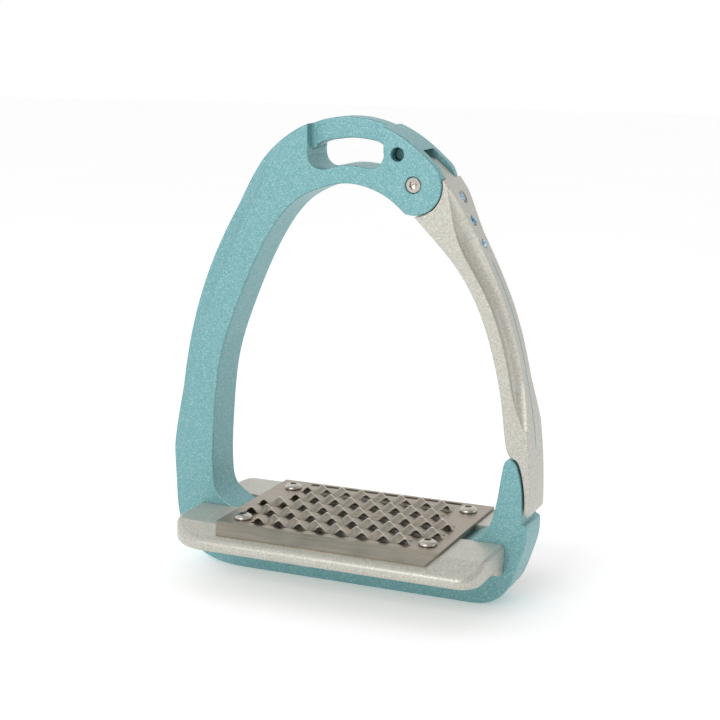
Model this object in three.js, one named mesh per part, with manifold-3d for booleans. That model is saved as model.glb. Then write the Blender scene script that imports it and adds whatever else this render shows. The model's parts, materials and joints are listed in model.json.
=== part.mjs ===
// Safety stirrup iron: a one-piece frame with a fork at its top right corner, a spring-held release
// arm that closes the right side, a footbed pad saddled over the base bar and a toothed tread plate.
// Millimetres, +Z up, +Y to the back, +X to the release arm's side. The origin lies on the underside
// of the base bar, in the middle of the frame's depth and of the tread plate.

import * as THREE from 'three';
import { mergeVertices } from 'three/addons/utils/BufferGeometryUtils.js';
import Module from 'manifold-3d';

const wasm = await Module();
wasm.setup();

// ---- Driving dimensions ----

const DEPTH = 17; // frame and release arm, front face to back face
const FACE = DEPTH / 2;
const TREAD_Z = 25.4; // top of the tread plate above the base's underside
const BAR_TOP_Z = 17.4; // top of the base bar under the pad
const LEDGE_Z = 32.4; // ledge under the arm's lower end

const PIVOT_X = 25.4; // release arm's hinge
const PIVOT_Z = 152.6;
const KNUCKLE_R = 10.9; // round end of the frame's fork
const SHOULDER_R = 11.35; // hollow shoulder of the arm round that end
const TONGUE_R = 9.2;
const TONGUE_HALF = 4.4; // half the tongue's thickness
const FORK_HALF = 5; // half the gap between the fork's cheeks
const POCKET_R = 12.4; // space cut for the tongue and its stop lug
const POCKET_WEB_R = 9.6; // web left at the pocket's lower end, which stops the open arm

const EYE_LEFT_X = -16; // strap eye and strap bar
const EYE_RIGHT_X = 14;
const STRAP_BAR_HALF = 4; // half the strap bar's thickness, set back from both faces
const STRAP_RECESS_Z = 161.5;

const FLUTE_DEPTH = 4.2; // coves along the outer edges of the leg and the arm

const STOP_PIN_X = 19.3; // pin in the hole above the pivot
const STOP_PIN_Z = 163.2;
const STOP_HOLE_R = 2.5;
const STOP_PIN_R = 2.3;
const STOP_PIN_FRONT_Y = -4.9;
const STOP_PIN_BACK_Y = 6.6;

const PLATE_X = 45; // half the tread plate's length
const PLATE_Y = 29.4; // fold lines of its two skirts
const PLATE_T = 0.8;
const SKIRT_Y = 6.4; // how far a skirt reaches forward and down
const SKIRT_DROP = 3.1;
const SKIRT_TAPER = 3.15;

const TOOTH_PITCH = 8.5;
const TOOTH_T = 0.55;
const TOOTH_PEAK = 2.5; // over the plate's top
const TOOTH_VALLEY = -0.7;
const TOOTH_X = 0.7; // one of the peaks on the strips' back edges
const STRIP_WIDTH = 5;
const STRIP_BACK_Y = -20.9; // back edge of the first strip
const ROW_PITCH = 10.6;
const SLIT_FRONT = 0.6;
const SLIT_BACK = 0.2;
const LAST_SLIT_Y = [25.6, 27.8];
const SHORT_ROW = [-32.2, 32.6]; // ends of the rows between the screws
const LONG_ROW = [-40.8, 41.2];
const ROWS = [SHORT_ROW, LONG_ROW, LONG_ROW, SHORT_ROW, SHORT_ROW]; // from the front to the back

const SCREW_PLACES = [[-37.1, -22.6], [37.9, -22.6], [37.8, 19.9], [-37.1, 19.9]]; // tread screws
const SCREW_HEAD_R = 3.45;
const SCREW_HEAD_H = 2.2;
const SCREW_SHANK_R = 1.7;
const SCREW_SHANK_LENGTH = 7.4;
const SCREW_CLEARANCE = 0.15;

const PAD_LEFT_X = -63.5;
const PAD_RIGHT_X = 62.2;
const PAD_FRONT_Y = 39.2; // half the pad's depth
const PAD_LEFT_R = 16.5;
const PAD_RIGHT_R = 8;
const PAD_TOP_Z = TREAD_Z - PLATE_T - 0.25;
const PAD_BOTTOM_Z = 15.85;
const PAD_NOSE_R = 2.3; // rounded front and back edges
const PAD_RIB_Z = 13.6; // ribs that clasp the base bar
const PAD_RIB_Y = 14;
const PAD_GAP = 0.3; // between the pad and the frame
const NOTCH_LEFT_X = -44.6; // notches that let the legs through
const NOTCH_RIGHT_X = 43.6;

const PAD_SCREW_X = 30; // countersunk screws up through the base bar
const PAD_SCREW_HEAD_R = 4.2;
const PAD_SCREW_HEAD_H = 2.4;
const PAD_SCREW_R = 2.2;
const PAD_SCREW_TOP_Z = 20.6;
const PAD_SCREW_SINK = 0.4; // heads sit this far above the underside

const AXLE_R = 2.5; // pivot barrel
const BARREL_HEAD_R = 4;
const BARREL_HEAD_Y = 6.5; // inner side of the barrel's head
const PIVOT_SCREW_R = 1.5;
const PIVOT_SCREW_HEAD_R = 2.9;
const HEAD_SINK = 0.1; // pivot heads sit this far under the frame's faces
const RUNNING_GAP = 0.15;
const BUSH_R = 3.5;
const WASHER_R = 6.4;
const SPRING_POCKET_R = 6.3;
const SPRING_COIL_R = 4.6;
const SPRING_WIRE_R = 0.55;
const SPRING_SWEEP = 924; // degrees of coil between the two legs
const SPRING_RISE = 2.85;

const COLOURS = {
  paint: { color: 0x7fbbbf, roughness: 0.38, metalness: 0.55 },
  silver: { color: 0xc8c6bc, roughness: 0.35, metalness: 0.7 },
  stainless: { color: 0x968e85, roughness: 0.28, metalness: 1 },
  steel: { color: 0xb4b2ac, roughness: 0.25, metalness: 1 },
  bronze: { color: 0xa98a52, roughness: 0.4, metalness: 0.9 },
  crystal: { color: 0x4f8fb5, roughness: 0.05, metalness: 0 },
};

// ---- Helpers ----

const P = (x, z) => new THREE.Vector2(x, z);

/** Points of a smooth curve through the given ones. */
function spline(points, stepsPerSpan = 3) {
  const curve = new THREE.SplineCurve(points);
  return curve.getPoints(stepsPerSpan * (points.length - 1));
}

/** Points of an arc; angles are in degrees, counter-clockwise from +X. */
function arc(cx, cz, radius, from, to, steps) {
  return Array.from({ length: steps + 1 }, (_, i) => {
    const angle = THREE.MathUtils.degToRad(from + ((to - from) * i) / steps);
    return P(cx + radius * Math.cos(angle), cz + radius * Math.sin(angle));
  });
}

/** Point at a distance and an angle, in degrees, from the arm's pivot. */
function fromPivot(radius, angle) {
  return arc(PIVOT_X, PIVOT_Z, radius, angle, angle, 1)[0];
}

function toSolid(geometry) {
  const bare = geometry.index ? geometry.toNonIndexed() : geometry.clone();
  bare.deleteAttribute('normal');
  bare.deleteAttribute('uv');
  const merged = mergeVertices(bare, 1e-4);
  const vertProperties = new Float32Array(merged.attributes.position.array);
  const triVerts = new Uint32Array(merged.index.array);
  return new wasm.Manifold(new wasm.Mesh({ numProp: 3, vertProperties, triVerts }));
}

function toGeometry(solid) {
  const mesh = solid.getMesh();
  const geometry = new THREE.BufferGeometry();
  geometry.setAttribute('position', new THREE.BufferAttribute(mesh.vertProperties, 3));
  geometry.setIndex(new THREE.BufferAttribute(mesh.triVerts, 1));
  return geometry;
}

/** Outline in X and Z, extruded along Y. */
function slab(points, yFrom, yTo) {
  const geometry = new THREE.ExtrudeGeometry(new THREE.Shape(points), {
    depth: yTo - yFrom,
    bevelEnabled: false,
  });
  geometry.rotateX(Math.PI / 2);
  geometry.translate(0, yTo, 0);
  return toSolid(geometry);
}

/** Outline in X and Y, extruded along Z. */
function prism(points, zFrom, zTo) {
  const geometry = new THREE.ExtrudeGeometry(new THREE.Shape(points), {
    depth: zTo - zFrom,
    bevelEnabled: false,
  });
  geometry.translate(0, 0, zFrom);
  return toSolid(geometry);
}

function box(xFrom, xTo, yFrom, yTo, zFrom, zTo) {
  const geometry = new THREE.BoxGeometry(xTo - xFrom, yTo - yFrom, zTo - zFrom);
  geometry.translate((xFrom + xTo) / 2, (yFrom + yTo) / 2, (zFrom + zTo) / 2);
  return toSolid(geometry);
}

/** Round solid along Y. */
function pinY(x, z, radius, yFrom, yTo, sides = 24) {
  const geometry = new THREE.CylinderGeometry(radius, radius, yTo - yFrom, sides);
  geometry.translate(x, (yFrom + yTo) / 2, z);
  return toSolid(geometry);
}

/** Round solid along Z. */
function pinZ(x, y, radius, zFrom, zTo, sides = 16) {
  const geometry = new THREE.CylinderGeometry(radius, radius, zTo - zFrom, sides);
  geometry.rotateX(Math.PI / 2);
  geometry.translate(x, y, (zFrom + zTo) / 2);
  return toSolid(geometry);
}

/** Turned solid about Z at the origin; the profile lists radius and height pairs. */
function turned(profile, sides = 16) {
  const points = profile.map(([radius, height]) => P(radius, height));
  const geometry = new THREE.LatheGeometry(points, sides);
  geometry.rotateX(Math.PI / 2);
  return toSolid(geometry);
}

/** Area vector of a closed ring of 3-D points. */
function ringNormal(ring) {
  const sum = new THREE.Vector3();
  ring.forEach((point, i) => {
    sum.add(point.clone().cross(ring[(i + 1) % ring.length]));
  });
  return sum;
}

/** Closed skin through sections, each a ring of the same number of 3-D points. */
function loft(rings) {
  const along = rings[1][0].clone().sub(rings[0][0]);
  const forwards = ringNormal(rings[0]).dot(along) > 0;
  const sections = forwards ? rings : rings.map((ring) => [...ring].reverse());
  const count = sections[0].length;
  const positions = sections.flat().flatMap((point) => point.toArray());
  const index = [];
  for (let s = 0; s + 1 < sections.length; s += 1) {
    for (let i = 0; i < count; i += 1) {
      const j = (i + 1) % count;
      const a = s * count + i;
      const b = s * count + j;
      index.push(a, b, a + count, b, b + count, a + count);
    }
  }
  const last = (sections.length - 1) * count;
  for (let i = 1; i + 1 < count; i += 1) {
    index.push(0, i + 1, i);
    index.push(last, last + i, last + i + 1);
  }
  const geometry = new THREE.BufferGeometry();
  geometry.setAttribute('position', new THREE.Float32BufferAttribute(positions, 3));
  geometry.setIndex(index);
  return toSolid(geometry);
}

/**
 * Cutter for a cove along one outer edge. The inner line lies on the front or back face and the
 * outer line on the outer side; the cove is deepest in the middle and runs out at both ends.
 */
function coveCutter(inner, outer, side) {
  const coveSteps = 4;
  const overshoot = 1.5;
  const last = inner.length - 1;
  const sections = inner.map((from, k) => {
    const swell = Math.min(1, Math.sin((Math.PI * (k + 0.35)) / (last + 0.7)) * 1.7);
    const depth = FLUTE_DEPTH * swell;
    const to = outer[k];
    const ring = [new THREE.Vector3(from.x, side * (FACE + overshoot), from.y)];
    for (let i = 1; i <= coveSteps; i += 1) {
      const turn = (Math.PI / 2) * (i / coveSteps);
      const across = 1 - Math.cos(turn);
      const x = from.x + (to.x - from.x) * across;
      const z = from.y + (to.y - from.y) * across;
      ring.push(new THREE.Vector3(x, side * (FACE - depth * Math.sin(turn)), z));
    }
    const out = to.clone().sub(from).setLength(overshoot).add(to);
    ring.push(new THREE.Vector3(out.x, side * (FACE - depth), out.y));
    ring.push(new THREE.Vector3(out.x, side * (FACE + overshoot), out.y));
    return ring;
  });
  return loft(sections);
}

function coveFrontAndBack(body, inner, outer) {
  const steps = 2;
  const innerLine = spline(inner, steps);
  const outerLine = spline(outer, steps);
  const front = body.subtract(coveCutter(innerLine, outerLine, -1));
  return front.subtract(coveCutter(innerLine, outerLine, 1));
}

const model = new THREE.Group();

function addPart(name, solid, look) {
  const material = new THREE.MeshStandardMaterial(COLOURS[look]);
  const mesh = new THREE.Mesh(toGeometry(solid), material);
  mesh.name = name;
  model.add(mesh);
}

// ---- Frame ----

function frameOutline() {
  const leftSideAndArch = spline([
    P(-44, 0), P(-58, 1.6), P(-67, 6.2), P(-73, 15.5), P(-74.6, 30), P(-75, 46),
    P(-73.2, 65), P(-68.3, 91.5), P(-58.1, 120.8), P(-45.3, 144.3), P(-33.5, 160.8),
    P(-19.5, 171.6), P(0, 175.8), P(17, 171.7), P(28.7, 164), fromPivot(KNUCKLE_R, 38),
  ]);
  const knuckle = arc(PIVOT_X, PIVOT_Z, KNUCKLE_R, 38, -108, 16).slice(1);
  const archInside = spline([
    fromPivot(KNUCKLE_R, -108), P(15.5, 147.5), P(8, 150.8), P(-0.9, 152.1), P(-9, 150.6),
    P(-20.7, 145.2), P(-33.1, 130.8), P(-46.2, 104.2), P(-53.7, 82.9), P(-57, 58.3),
    P(-57.8, 36.5), P(-56.2, 29.4), P(-52, 25.7), P(NOTCH_LEFT_X - 0.6, 22.3),
  ]).slice(1);
  const barTop = [P(NOTCH_LEFT_X - 0.6, BAR_TOP_Z), P(NOTCH_RIGHT_X + 0.6, BAR_TOP_Z)];
  const upstandInside = spline([
    P(NOTCH_RIGHT_X + 0.6, 21.8), P(48.6, 23.9), P(53.5, 27), P(57.5, 34.8), P(59.9, 47.6),
    P(60.9, 53.6),
  ]);
  const upstandTip = spline([P(61.6, 55.4), P(63.4, 56.3), P(65.3, 55.2), P(66.4, 53)]);
  const upstandOutside = spline([P(67.4, 49.5), P(68.2, 43), P(68.5, 36), P(68.4, LEDGE_Z)]);
  const rightSide = spline([
    P(69.4, LEDGE_Z), P(70.3, 31.2), P(70, 26), P(67.7, 17.6), P(63, 6.6), P(57, 1.5), P(48, 0),
  ]);
  return [
    ...leftSideAndArch, ...knuckle, ...archInside, ...barTop, ...upstandInside, ...upstandTip,
    ...upstandOutside, ...rightSide,
  ];
}

function strapEye() {
  return spline([
    P(EYE_LEFT_X, 163.5), P(-14.9, 159), P(-10.8, 156.9), P(-5.5, 158.1), P(0, 158.7),
    P(5, 158.3), P(9.6, 158), P(12.9, 159.9), P(14, 163), P(11.6, 166.2), P(6.8, 167.7),
    P(0, 168.2), P(-7, 167.4), P(-13, 165.9), P(EYE_LEFT_X, 163.5),
  ], 2).slice(1);
}

function strapRecess(side) {
  const coveR = 1.6;
  const top = 178;
  const yOut = FACE + 1;
  const plan = [
    P(EYE_RIGHT_X, STRAP_BAR_HALF),
    ...arc(EYE_LEFT_X + coveR, STRAP_BAR_HALF + coveR, coveR, 270, 180, 5),
    P(EYE_LEFT_X, yOut),
    P(EYE_RIGHT_X, yOut),
  ];
  const mirrored = plan.map((point) => P(point.x, side * point.y));
  return prism(side < 0 ? mirrored : mirrored.reverse(), STRAP_RECESS_Z, top);
}

function forkPocket() {
  const sector = [
    ...arc(PIVOT_X, PIVOT_Z, POCKET_R, -124, 198, 30),
    P(PIVOT_X, PIVOT_Z),
  ];
  const web = pinY(PIVOT_X, PIVOT_Z, POCKET_WEB_R, -FORK_HALF, FORK_HALF, 32);
  return slab(sector, -FORK_HALF, FORK_HALF).add(web);
}

function padScrewHole(x) {
  const clearance = 0.2;
  const headTop = PAD_SCREW_SINK + PAD_SCREW_HEAD_H + clearance;
  const headR = PAD_SCREW_HEAD_R + clearance;
  const shankR = PAD_SCREW_R + clearance;
  const cone = turned([
    [0, -1], [headR, -1], [headR, PAD_SCREW_SINK], [shankR, headTop],
    [shankR, PAD_SCREW_TOP_Z + 0.4], [0, PAD_SCREW_TOP_Z + 0.4],
  ]);
  return cone.translate([x, 0, 0]);
}

function frame() {
  const legInner = [
    P(-31.4, 161.6), P(-33.5, 154), P(-38.4, 144.2), P(-49.8, 122.8), P(-58.7, 101.7),
    P(-64.8, 82), P(-68, 66), P(-70.3, 55), P(-73.6, 44),
  ];
  const legOuter = [
    P(-32, 162.5), P(-36.5, 157), P(-44.2, 146), P(-57, 123.2), P(-65.2, 102.4),
    P(-70.7, 81.2), P(-73.2, 65), P(-74.3, 55), P(-75.2, 44),
  ];
  let body = slab(frameOutline(), -FACE, FACE);
  body = body.subtract(slab(strapEye(), -FACE - 1, FACE + 1));
  body = body.subtract(strapRecess(-1)).subtract(strapRecess(1));
  body = body.subtract(forkPocket());
  body = coveFrontAndBack(body, legInner, legOuter);
  const out = FACE + 1;
  const seatY = BARREL_HEAD_Y - 0.1;
  body = body.subtract(pinY(STOP_PIN_X, STOP_PIN_Z, STOP_HOLE_R, -out, STOP_PIN_BACK_Y + 0.2));
  body = body.subtract(pinY(PIVOT_X, PIVOT_Z, PIVOT_SCREW_HEAD_R + RUNNING_GAP, -out, -seatY));
  body = body.subtract(pinY(PIVOT_X, PIVOT_Z, AXLE_R + RUNNING_GAP, -7, out));
  body = body.subtract(pinY(PIVOT_X, PIVOT_Z, BARREL_HEAD_R + RUNNING_GAP, seatY, out));
  for (const x of [-PAD_SCREW_X, PAD_SCREW_X]) {
    body = body.subtract(padScrewHole(x));
  }
  return body;
}

// ---- Release arm ----

function armOutline() {
  const outside = spline([
    P(37, 155), P(38.2, 153.3), P(40, 150.7), P(43.9, 143.4), P(49.3, 132.7),
    P(55.5, 120.1), P(60.7, 107.4), P(64.4, 94.6), P(67.2, 81.6), P(69.4, 68.8),
    P(70.6, 57), P(71.1, 46), P(71.2, 39),
  ]);
  const foot = spline([P(71.1, 37), P(70.6, 35.3), P(69.6, 36), P(69.1, 38.4)], 3);
  const inside = spline([
    P(69, 43), P(68.3, 48.5), P(67, 53.8), P(65.6, 56.1), P(63.6, 57), P(62.6, 58.3),
    P(61.3, 63.4), P(59.6, 77), P(55.9, 94.2), P(50, 110.8), P(40.9, 125.4),
    P(31.4, 135.6), fromPivot(SHOULDER_R, -88),
  ]);
  const shoulder = arc(PIVOT_X, PIVOT_Z, SHOULDER_R, -88, 11, 12).slice(1);
  return [...outside, ...foot, ...inside, ...shoulder];
}

function tongueOutline() {
  return [
    ...arc(PIVOT_X, PIVOT_Z, TONGUE_R, 60, 322, 26),
    P(40, 139), P(42, 143), P(38.6, 150), P(36.2, 155), P(33.4, 157.7),
  ];
}

function stopLug() {
  const lugR = 11.5;
  const outer = arc(PIVOT_X, PIVOT_Z, lugR, 133.5, 150, 4);
  const lug = [P(PIVOT_X, PIVOT_Z), ...outer];
  return slab(lug, -TONGUE_HALF, 0);
}

/** Room in the tongue for the spring: a pocket, a way for its fixed leg and a slot for the other. */
function springRoom() {
  const floorY = 0.3;
  const slotFloorY = 2.4;
  const backY = TONGUE_HALF + 1;
  const pocket = pinY(PIVOT_X, PIVOT_Z, SPRING_POCKET_R, floorY, backY);
  const wayArc = arc(PIVOT_X, PIVOT_Z, POCKET_R, 128, 192, 12);
  const legWay = slab([P(PIVOT_X, PIVOT_Z), ...wayArc], floorY, backY);
  const slotEnd = fromPivot(8.4, -60);
  const slotSide = fromPivot(1, 30);
  const shift = P(slotSide.x - PIVOT_X, slotSide.y - PIVOT_Z);
  const slot = slab(
    [
      P(PIVOT_X - shift.x, PIVOT_Z - shift.y), P(slotEnd.x - shift.x, slotEnd.y - shift.y),
      P(slotEnd.x + shift.x, slotEnd.y + shift.y), P(PIVOT_X + shift.x, PIVOT_Z + shift.y),
    ],
    slotFloorY,
    backY,
  );
  return pocket.add(legWay).add(slot);
}

const CRYSTALS = [
  { x: 40.9, z: 148.2, tilt: 29, diameter: 4.2 },
  { x: 45.5, z: 140.2, tilt: 27, diameter: 3.6 },
  { x: 49.6, z: 132.2, tilt: 26.5, diameter: 3.1 },
];
const CRYSTAL_CROWN = 0.45; // height of a crystal over the arm's surface

/** Turns a solid about Z at the origin to stand on the arm's outer side. */
function seatOnArm(solid, { x, z, tilt }) {
  return solid.rotate([0, 90 - tilt, 0]).translate([x, 0, z]);
}

function releaseArm() {
  const coveInner = [
    P(38.4, 151.6), P(39.6, 146), P(40.8, 139.8), P(43.1, 132.4), P(48.4, 123),
    P(53.9, 113.4), P(58.3, 102.7), P(61.9, 89.2), P(64.4, 77.6), P(68.6, 67),
  ];
  const coveOuter = [
    P(39.4, 151.6), P(42.3, 146.6), P(45.5, 140.4), P(49.6, 132.3), P(54.3, 122.7),
    P(58.4, 113.3), P(62.3, 102.2), P(65.7, 89), P(68, 77.3), P(69.9, 67),
  ];
  let body = slab(armOutline(), -FACE, FACE);
  body = coveFrontAndBack(body, coveInner, coveOuter);
  body = body.add(slab(tongueOutline(), -TONGUE_HALF, TONGUE_HALF));
  body = body.add(stopLug());
  body = body.subtract(springRoom());
  body = body.subtract(pinY(PIVOT_X, PIVOT_Z, BUSH_R + 0.1, -TONGUE_HALF - 1, TONGUE_HALF));
  for (const crystal of CRYSTALS) {
    const seatR = crystal.diameter / 2 + 0.15;
    const seat = turned([[0, -2.2], [seatR, -1.1], [seatR, 2], [0, 2]], 12);
    body = body.subtract(seatOnArm(seat, crystal));
  }
  return body;
}

function crystal(spec) {
  const r = spec.diameter / 2;
  const stone = turned([[0, -1.9], [r, -0.2], [r, 0], [r * 0.55, CRYSTAL_CROWN], [0, CRYSTAL_CROWN]], 8);
  return seatOnArm(stone, spec);
}

// ---- Pivot ----

function hexSocket(acrossFlats, depth) {
  const radius = acrossFlats / Math.sqrt(3);
  const geometry = new THREE.CylinderGeometry(radius, radius, depth, 6);
  return toSolid(geometry);
}

function pivotScrew() {
  const front = -FACE + HEAD_SINK;
  const head = pinY(PIVOT_X, PIVOT_Z, PIVOT_SCREW_HEAD_R, front, -BARREL_HEAD_Y);
  const shank = pinY(PIVOT_X, PIVOT_Z, PIVOT_SCREW_R, -BARREL_HEAD_Y - 0.1, -1, 16);
  const socket = hexSocket(2.5, 2.4).translate([PIVOT_X, front, PIVOT_Z]);
  return head.add(shank).subtract(socket);
}

function pivotBarrel() {
  const back = FACE - HEAD_SINK;
  const barrel = pinY(PIVOT_X, PIVOT_Z, AXLE_R, -6.2, 7);
  const head = pinY(PIVOT_X, PIVOT_Z, BARREL_HEAD_R, BARREL_HEAD_Y, back);
  const thread = pinY(PIVOT_X, PIVOT_Z, PIVOT_SCREW_R + RUNNING_GAP, -7, 0, 16);
  const socket = hexSocket(3, 2.4).translate([PIVOT_X, back, PIVOT_Z]);
  return barrel.add(head).subtract(thread).subtract(socket);
}

function ring(innerR, outerR, yFrom, yTo) {
  const solid = pinY(PIVOT_X, PIVOT_Z, outerR, yFrom, yTo);
  return solid.subtract(pinY(PIVOT_X, PIVOT_Z, innerR, yFrom - 1, yTo + 1));
}

/** Torsion spring: a fixed leg to the pocket's wall, the coil, and a leg in the tongue's slot. */
function torsionSpring() {
  const startAngle = 160;
  const startY = 0.95;
  const endAngle = startAngle - SPRING_SWEEP;
  const endY = startY + SPRING_RISE;
  const coilSteps = 40;
  const at = (radius, angle, y) => {
    const point = fromPivot(radius, angle);
    return new THREE.Vector3(point.x, y, point.y);
  };
  const points = [at(11.8, 182, startY), at(9.4, 180, startY), at(6.8, 175, startY)];
  for (let i = 0; i <= coilSteps; i += 1) {
    const turn = i / coilSteps;
    points.push(at(SPRING_COIL_R, startAngle - SPRING_SWEEP * turn, startY + SPRING_RISE * turn));
  }
  points.push(at(6.2, endAngle - 14, endY), at(7.8, endAngle - 17, endY));
  const path = new THREE.CatmullRomCurve3(points, false, 'centripetal');
  const section = new THREE.Shape(arc(0, 0, SPRING_WIRE_R, 0, 300, 5));
  const geometry = new THREE.ExtrudeGeometry(section, {
    steps: 64,
    extrudePath: path,
    bevelEnabled: false,
  });
  return toSolid(geometry);
}

function stopPin() {
  return pinY(STOP_PIN_X, STOP_PIN_Z, STOP_PIN_R, STOP_PIN_FRONT_Y, STOP_PIN_BACK_Y);
}

// ---- Footbed pad ----

function padPlan() {
  const corner = (cx, cy, radius, from) => arc(cx, cy, radius, from, from + 90, 8);
  const left = PAD_LEFT_X + PAD_LEFT_R;
  const leftY = PAD_FRONT_Y - PAD_LEFT_R;
  const right = PAD_RIGHT_X - PAD_RIGHT_R;
  const rightY = PAD_FRONT_Y - PAD_RIGHT_R;
  return [
    ...corner(left, -leftY, PAD_LEFT_R, 180),
    ...corner(right, -rightY, PAD_RIGHT_R, 270),
    ...corner(right, rightY, PAD_RIGHT_R, 0),
    ...corner(left, leftY, PAD_LEFT_R, 90),
  ];
}

/** Section of the pad across its length, as Y and Z, extruded along X. */
function padSection() {
  const noseY = PAD_FRONT_Y - PAD_NOSE_R;
  const noseZ = PAD_BOTTOM_Z + PAD_NOSE_R;
  const right = [
    P(FACE + PAD_GAP, PAD_RIB_Z), P(PAD_RIB_Y, PAD_RIB_Z), P(PAD_RIB_Y, PAD_BOTTOM_Z),
    ...arc(noseY, noseZ, PAD_NOSE_R, 270, 424, 8), P(PLATE_Y - 0.2, PAD_TOP_Z),
  ];
  const left = right.map((point) => P(-point.x, point.y)).reverse();
  const underside = BAR_TOP_Z + PAD_GAP;
  const channel = [P(-FACE - PAD_GAP, underside), P(FACE + PAD_GAP, underside)];
  const geometry = new THREE.ExtrudeGeometry(new THREE.Shape([...right, ...left, ...channel]), {
    depth: 160,
    bevelEnabled: false,
  });
  geometry.rotateX(Math.PI / 2);
  geometry.rotateZ(Math.PI / 2);
  geometry.translate(-80, 0, 0);
  return toSolid(geometry);
}

function footbedPad() {
  const notchHalf = FACE + PAD_GAP;
  const room = 0.8; // round and under the tooth strips
  const longY = [rowSpan(1)[0] - SLIT_FRONT - room, rowSpan(2)[1] + SLIT_BACK + room];
  const shortY = [rowSpan(0)[0] - SLIT_FRONT - room, LAST_SLIT_Y[1] + 0.2];
  const shortX = [SHORT_ROW[0] - room, SHORT_ROW[1] + room];
  const longX = [LONG_ROW[0] - room, LONG_ROW[1] + room];
  const pocketFloor = TREAD_Z + TOOTH_VALLEY - TOOTH_T - 2 * room;
  let body = padSection().intersect(prism(padPlan(), 0, 40));
  body = body.subtract(box(-80, NOTCH_LEFT_X, -notchHalf, notchHalf, 0, 40));
  body = body.subtract(box(NOTCH_RIGHT_X, 80, -notchHalf, notchHalf, 0, 40));
  body = body.subtract(box(...shortX, ...shortY, pocketFloor, 40));
  body = body.subtract(box(...longX, ...longY, pocketFloor, 40));
  const screwBottom = TREAD_Z - SCREW_SHANK_LENGTH - 0.4;
  for (const [x, y] of SCREW_PLACES) {
    body = body.subtract(pinZ(x, y, SCREW_SHANK_R + SCREW_CLEARANCE, screwBottom, 40));
  }
  for (const x of [-PAD_SCREW_X, PAD_SCREW_X]) {
    body = body.subtract(pinZ(x, 0, PAD_SCREW_R + 0.2, 10, PAD_SCREW_TOP_Z + 0.3));
  }
  return body;
}

function padScrew(x) {
  const headTop = PAD_SCREW_SINK + PAD_SCREW_HEAD_H;
  const solid = turned([
    [0, PAD_SCREW_SINK], [PAD_SCREW_HEAD_R, PAD_SCREW_SINK], [PAD_SCREW_R, headTop],
    [PAD_SCREW_R, PAD_SCREW_TOP_Z], [0, PAD_SCREW_TOP_Z],
  ]);
  const socket = hexSocket(3, 3).rotate([90, 0, 0]).translate([0, 0, PAD_SCREW_SINK]);
  return solid.subtract(socket).translate([x, 0, 0]);
}

// ---- Tread plate ----

/** Folded blank: the flat top with its front and back skirts. */
function plateBlank() {
  const nose = PLATE_Y + SKIRT_Y;
  const top = TREAD_Z;
  const slope = Math.atan2(SKIRT_DROP, SKIRT_Y);
  const half = [
    P(PLATE_Y - PLATE_T * Math.tan(slope / 2), top - PLATE_T),
    P(nose - PLATE_T * Math.sin(slope), top - SKIRT_DROP - PLATE_T * Math.cos(slope)),
    P(nose, top - SKIRT_DROP),
    P(PLATE_Y, top),
  ];
  const mirrored = half.map((point) => P(-point.x, point.y)).reverse();
  const geometry = new THREE.ExtrudeGeometry(new THREE.Shape([...half, ...mirrored]), {
    depth: 2 * PLATE_X,
    bevelEnabled: false,
  });
  geometry.rotateX(Math.PI / 2);
  geometry.rotateZ(Math.PI / 2);
  geometry.translate(-PLATE_X, 0, 0);
  const plan = prism(
    [
      P(-PLATE_X + SKIRT_TAPER, -nose), P(PLATE_X - SKIRT_TAPER, -nose), P(PLATE_X, -PLATE_Y),
      P(PLATE_X, PLATE_Y), P(PLATE_X - SKIRT_TAPER, nose), P(-PLATE_X + SKIRT_TAPER, nose),
      P(-PLATE_X, PLATE_Y), P(-PLATE_X, -PLATE_Y),
    ],
    0,
    40,
  );
  return toSolid(geometry).intersect(plan);
}

/** Front and back of a row: its strip lies between them, and slits part it from the flat plate. */
function rowSpan(row) {
  const back = STRIP_BACK_Y + row * ROW_PITCH;
  return [back - STRIP_WIDTH, back];
}

/** A zigzag slab along X whose ends run into the plate's thickness. */
function zigzag([xFrom, xTo], yFrom, yTo, peakX) {
  const half = TOOTH_PITCH / 2;
  const overlap = 0.6;
  const endLevel = -0.2; // just under the plate's top
  const runOut = 1.2; // room for the slope at each end
  const first = Math.ceil((xFrom + runOut - peakX) / half);
  const last = Math.floor((xTo - runOut - peakX) / half);
  const top = [P(xFrom - overlap, endLevel)];
  for (let k = first; k <= last; k += 1) {
    top.push(P(peakX + k * half, k % 2 === 0 ? TOOTH_PEAK : TOOTH_VALLEY));
  }
  top.push(P(xTo + overlap, endLevel));
  const bottom = top.map((point) => P(point.x, point.y - TOOTH_T)).reverse();
  return slab([...bottom, ...top].reverse(), yFrom, yTo).translate([0, 0, TREAD_Z]);
}

/** One lanced row: a front half and a back half whose peaks alternate. */
function toothStrip(ends, [yFront, yBack]) {
  const middle = (yFront + yBack) / 2;
  const shared = 0.15; // each half runs this far past the middle
  const front = zigzag(ends, yFront, middle + shared, TOOTH_X + TOOTH_PITCH / 2);
  const back = zigzag(ends, middle - shared, yBack, TOOTH_X);
  return front.add(back);
}

function treadPlate() {
  let body = plateBlank();
  ROWS.forEach((ends, row) => {
    const [front, back] = rowSpan(row);
    body = body.subtract(box(...ends, front - SLIT_FRONT, back + SLIT_BACK, 20, 30));
    body = body.add(toothStrip(ends, [front, back]));
  });
  body = body.subtract(box(...SHORT_ROW, ...LAST_SLIT_Y, 20, 30));
  for (const [x, y] of SCREW_PLACES) {
    body = body.subtract(pinZ(x, y, SCREW_SHANK_R + SCREW_CLEARANCE, 20, 30));
  }
  return body;
}

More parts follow.
